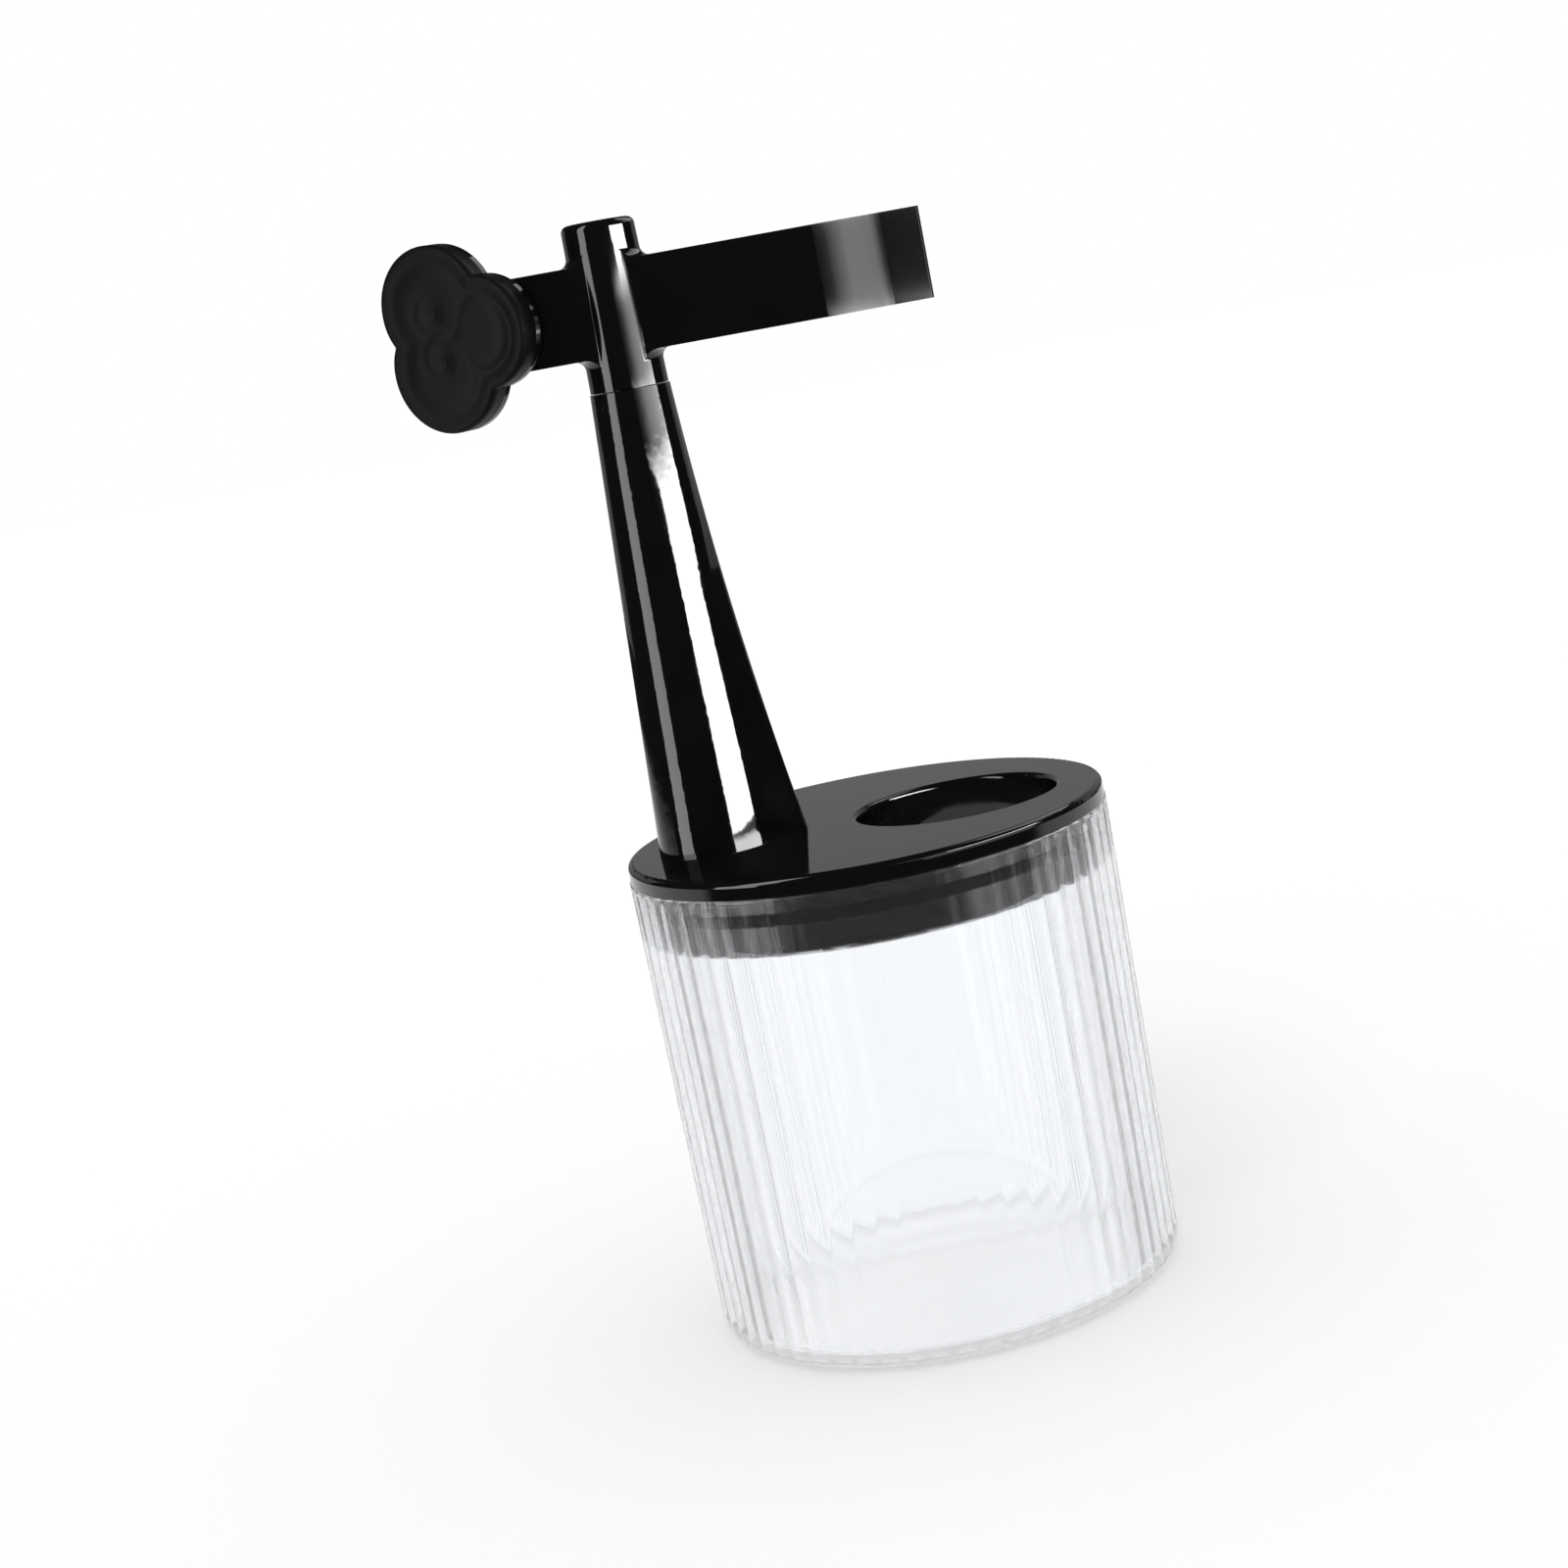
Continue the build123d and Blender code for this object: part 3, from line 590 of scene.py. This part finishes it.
def make_trefoil_face(material):
    """The satin front with its raised rim, its valley and two cloud curls."""
    turns = [2 * math.pi * i / FACE_SPOKES for i in range(FACE_SPOKES)]
    hinge = frame_joint("trefoil_turn")
    angle = math.radians(TREFOIL_TURN)
    facing = Vector((-math.sin(angle), -math.cos(angle), 0))
    across = Vector((math.cos(angle), -math.sin(angle), 0))
    above = Vector((0, 0, 1))

    def place(x, y, height):
        return hinge + (across * x + above * y + facing * (FACE_BACK_MM + height)) * MM

    points = [place(0, 0, 0)]
    for turn in turns:
        reach = trefoil_reach(turn)
        points.append(place(reach * math.cos(turn), reach * math.sin(turn), 0))
    for inset in EDGE_INSETS_MM:
        for turn in turns:
            reach = trefoil_reach(turn) - inset
            x, y = reach * math.cos(turn), reach * math.sin(turn)
            points.append(place(x, y, face_height(x, y)))
    for ring in range(1, FACE_RINGS):
        for turn in turns:
            reach = (trefoil_reach(turn) - EDGE_INSETS_MM[-1]) * (1 - ring / FACE_RINGS)
            x, y = reach * math.cos(turn), reach * math.sin(turn)
            points.append(place(x, y, face_height(x, y)))
    points.append(place(0, 0, face_height(0, 0)))
    faces = []
    ring_count = len(EDGE_INSETS_MM) + FACE_RINGS
    for i in range(FACE_SPOKES):
        after = (i + 1) % FACE_SPOKES
        faces.append((0, 1 + after, 1 + i))
        for ring in range(ring_count - 1):
            low = 1 + ring * FACE_SPOKES
            high = low + FACE_SPOKES
            faces.append((low + i, low + after, high + after, high + i))
        last = 1 + (ring_count - 1) * FACE_SPOKES
        faces.append((last + i, last + after, len(points) - 1))
    face = new_piece("trefoil_cloud_face", points, faces)
    face.data.materials.append(material)
    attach(face, "trefoil_body")
    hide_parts("trefoil_face")


def new_group(name, inputs, outputs, vectors=()):
    """An empty shader group with named sockets."""
    group = bpy.data.node_groups.new(name, "ShaderNodeTree")
    for socket in vectors:
        group.interface.new_socket(socket, in_out="INPUT", socket_type="NodeSocketVector")
    for socket, value in inputs.items():
        made = group.interface.new_socket(socket, in_out="INPUT", socket_type="NodeSocketFloat")
        made.default_value = value
    for socket in outputs:
        group.interface.new_socket(socket, in_out="OUTPUT", socket_type="NodeSocketFloat")
    return group, Tree(group)


def handling_marks():
    """Faint haze and short scuff marks: a roughness between the polished and the rubbed value."""
    inputs = {"Polished": 0.05, "Rubbed": 0.15, "Size": 90.0}
    group, t = new_group("handling_marks", inputs, ["Roughness"])
    given = t.add("NodeGroupInput").outputs
    place = t.add("ShaderNodeTexCoord").outputs["Object"]
    haze = t.spread(t.noise(place, given["Size"], 4.0), 0.42, 0.72, 0.0, 1.0)
    stretched = {"Vector": place, "Scale": (1.0, 1.0, 0.08), "Rotation": (0.3, 0.2, 0.5)}
    streaks_place = t.add("ShaderNodeMapping", stretched)
    fine = t.math("MULTIPLY", given["Size"], 26.0)
    streaks = t.spread(t.noise(streaks_place.outputs[0], fine, 2.0), 0.66, 0.74, 0.0, 1.0)
    mask = t.math("MAXIMUM", t.math("MULTIPLY", haze, 0.6), t.math("MULTIPLY", streaks, haze), clamp=True)
    roughness = t.spread(mask, 0.0, 1.0, given["Polished"], given["Rubbed"])
    t.add("NodeGroupOutput", {"Roughness": roughness})
    return group


def edge_wear_and_highlight():
    """A mask along convex edges, broken up by a fine pattern: edge wear in roughness, and a painted highlight
    where it lightens a colour.
    """
    group, t = new_group("edge_wear_and_highlight", {"Width": 0.0004}, ["Mask"])
    given = t.add("NodeGroupInput").outputs
    place = t.add("ShaderNodeTexCoord").outputs["Object"]
    rounded = t.add("ShaderNodeBevel", {"Radius": given["Width"]}, samples=4).outputs[0]
    straight = t.add("ShaderNodeNewGeometry").outputs["Normal"]
    agree = t.add("ShaderNodeVectorMath", {0: rounded, 1: straight}, operation="DOT_PRODUCT").outputs["Value"]
    turned = t.spread(agree, 0.90, 0.995, 1.0, 0.0)
    broken = t.spread(t.noise(place, 700.0, 3.0), 0.4, 0.65, 0.2, 1.0)
    t.add("NodeGroupOutput", {"Mask": t.math("MULTIPLY", turned, broken)})
    return group


def settled_dust():
    """A thin film of dust on what faces up."""
    group, t = new_group("settled_dust", {"Amount": 0.3}, ["Mask"])
    given = t.add("NodeGroupInput").outputs
    place = t.add("ShaderNodeTexCoord").outputs["Object"]
    normal = t.add("ShaderNodeNewGeometry").outputs["Normal"]
    up = t.add("ShaderNodeSeparateXYZ", {0: normal}).outputs["Z"]
    film = t.spread(t.noise(place, 160.0, 5.0), 0.45, 0.8, 0.0, 0.5)
    specks = t.spread(t.noise(place, 2600.0, 1.0), 0.74, 0.80, 0.0, 1.0)
    dust = t.math("ADD", film, specks, clamp=True)
    facing = t.spread(up, 0.5, 1.0, 0.0, 1.0)
    mask = t.math("MULTIPLY", t.math("MULTIPLY", dust, facing), given["Amount"])
    t.add("NodeGroupOutput", {"Mask": mask})
    return group


def mould_surface():
    """Height of a moulded skin: slow flow waves and a fine grain, each in metres."""
    inputs = {"Wave": 1e-6, "Grain": 1e-6, "Grain size": 3000.0}
    group, t = new_group("mould_surface", inputs, ["Height"])
    given = t.add("NodeGroupInput").outputs
    place = t.add("ShaderNodeTexCoord").outputs["Object"]
    waves = t.math("MULTIPLY", t.noise(place, 55.0, 1.0), given["Wave"])
    grain = t.math("MULTIPLY", t.noise(place, given["Grain size"], 2.0), given["Grain"])
    t.add("NodeGroupOutput", {"Height": t.math("ADD", waves, grain)})
    return group


EFFECTS = (surroundings, handling_marks, edge_wear_and_highlight, settled_dust, mould_surface)
GROUPS = {make.__name__: make() for make in EFFECTS}


def effect(t, name, linked=None, **values):
    """One of the shared effects, with its linked inputs and this material's own values."""
    node = t.add("ShaderNodeGroup", linked, node_tree=GROUPS[name])
    for socket, value in values.items():
        node.inputs[socket.replace("_", " ")].default_value = value
    return node.outputs


def plastic(name, tone, mottle_and_edge_highlight_tone, polished, rubbed, wave, grain, grain_size, dust, specular=0.5):
    """A black moulded plastic with its marks, rubbed edges that are also lightened as a painted highlight, dust
    and mould surface.
    """
    material = bpy.data.materials.new(name)
    material.use_nodes = True
    t = Tree(material.node_tree)
    marks = effect(t, "handling_marks", Polished=polished, Rubbed=rubbed, Size=85.0)
    # Edge mask: it roughens the convex edges as wear and lightens their colour as a painted highlight
    edge_wear_and_highlight_mask = effect(t, "edge_wear_and_highlight", Width=0.0004)["Mask"]
    film = effect(t, "settled_dust", Amount=dust)["Mask"]
    place = t.add("ShaderNodeTexCoord").outputs["Object"]
    cloudy = t.spread(t.noise(place, 120.0, 4.0), 0.3, 0.7, 0.0, 0.5)
    # Paler random mottle, and convex edges lightened towards the paler tone: partly edge wear, partly a painted
    # highlight where edges catch light
    share = t.math("ADD", cloudy, t.math("MULTIPLY", edge_wear_and_highlight_mask, 0.8), clamp=True)
    colour = t.blend(share, tone, mottle_and_edge_highlight_tone)
    colour = t.blend(film, colour, (0.30, 0.29, 0.28, 1))
    roughness = t.math("MULTIPLY_ADD", edge_wear_and_highlight_mask, 0.08, marks["Roughness"])
    roughness = t.math("MULTIPLY_ADD", film, 0.3, roughness, clamp=True)
    height = effect(t, "mould_surface", Wave=wave, Grain=grain, Grain_size=grain_size)["Height"]
    normal = t.add("ShaderNodeBump", {"Strength": 1.0, "Distance": 1.0, "Height": height}).outputs[0]
    sockets = {"Base Color": colour, "Roughness": roughness, "Normal": normal, "IOR": 1.5}
    sockets["Specular IOR Level"] = specular
    shader = t.add("ShaderNodeBsdfPrincipled", sockets)
    t.add("ShaderNodeOutputMaterial", {"Surface": shader.outputs[0]})
    return material


def clear_plastic():
    """The cup's clear plastic: a cool tint, a little haze and slow waves in its skin."""
    material = bpy.data.materials.new("clear_styrene")
    material.use_nodes = True
    t = Tree(material.node_tree)
    marks = effect(t, "handling_marks", Polished=0.0, Rubbed=0.035, Size=60.0)
    place = t.add("ShaderNodeTexCoord").outputs["Object"]
    share = t.spread(t.noise(place, 40.0, 3.0), 0.3, 0.7, 0.0, 1.0)
    colour = t.blend(share, (0.988, 0.992, 0.997, 1), (0.976, 0.984, 0.993, 1))
    height = effect(t, "mould_surface", Wave=4e-6, Grain=0.0, Grain_size=3000.0)["Height"]
    normal = t.add("ShaderNodeBump", {"Strength": 1.0, "Distance": 1.0, "Height": height}).outputs[0]
    sockets = {"Base Color": colour, "Roughness": marks["Roughness"], "Normal": normal, "IOR": 1.36}
    sockets["Transmission Weight"] = 1.0
    sockets["Alpha"] = 0.75
    shader = t.add("ShaderNodeBsdfPrincipled", sockets)
    t.add("ShaderNodeOutputMaterial", {"Surface": shader.outputs[0]})
    return material


def turned_steel():
    """Plated steel with fine turning lines."""
    material = bpy.data.materials.new("plated_steel")
    material.use_nodes = True
    t = Tree(material.node_tree)
    marks = effect(t, "handling_marks", Polished=0.22, Rubbed=0.38, Size=400.0)
    place = t.add("ShaderNodeTexCoord").outputs["Object"]
    lines_place = t.add("ShaderNodeMapping", {"Vector": place, "Scale": (0.2, 0.2, 6.0)}).outputs[0]
    lines = t.noise(lines_place, 1800.0, 2.0)
    colour = t.blend(lines, (0.50, 0.50, 0.52, 1), (0.68, 0.68, 0.70, 1))
    height = t.math("MULTIPLY", lines, 3e-6)
    normal = t.add("ShaderNodeBump", {"Strength": 1.0, "Distance": 1.0, "Height": height}).outputs[0]
    sockets = {"Base Color": colour, "Roughness": marks["Roughness"], "Normal": normal, "Metallic": 1.0}
    shader = t.add("ShaderNodeBsdfPrincipled", sockets)
    t.add("ShaderNodeOutputMaterial", {"Surface": shader.outputs[0]})
    return material


def main():
    """The camera, the studio, the materials and the pieces."""
    make_camera()
    make_studio()
    materials = {
        "clear_plastic": clear_plastic(),
        "gloss_black": plastic(
            "gloss_black_moulding", (0.0030, 0.0030, 0.0034, 1), (0.0055, 0.0055, 0.0060, 1),
            0.045, 0.11, 6e-6, 0.0, 3000.0, 0.02,
        ),
        "satin_black": plastic(
            "satin_black_moulding", (0.0060, 0.0060, 0.0062, 1), (0.0092, 0.0092, 0.0095, 1),
            0.42, 0.52, 4e-6, 9e-6, 2600.0, 0.02, specular=0.07,
        ),
        "soft_black": plastic(
            "soft_ring_rubber", (0.005, 0.005, 0.005, 1), (0.009, 0.009, 0.009, 1),
            0.6, 0.8, 4e-6, 1.2e-5, 2200.0, 0.05, specular=0.1,
        ),
        "steel": turned_steel(),
    }
    for subpart in frame["record"]["subparts"]:
        node = frame["nodes"][subpart["node"]]
        node.data.materials.clear()
        node.data.materials.append(materials[subpart["material_slot"]])
    make_cup(materials["clear_plastic"])
    make_trefoil_face(materials["satin_black"])
    bpy.context.scene.view_settings.view_transform = "Standard"


main()
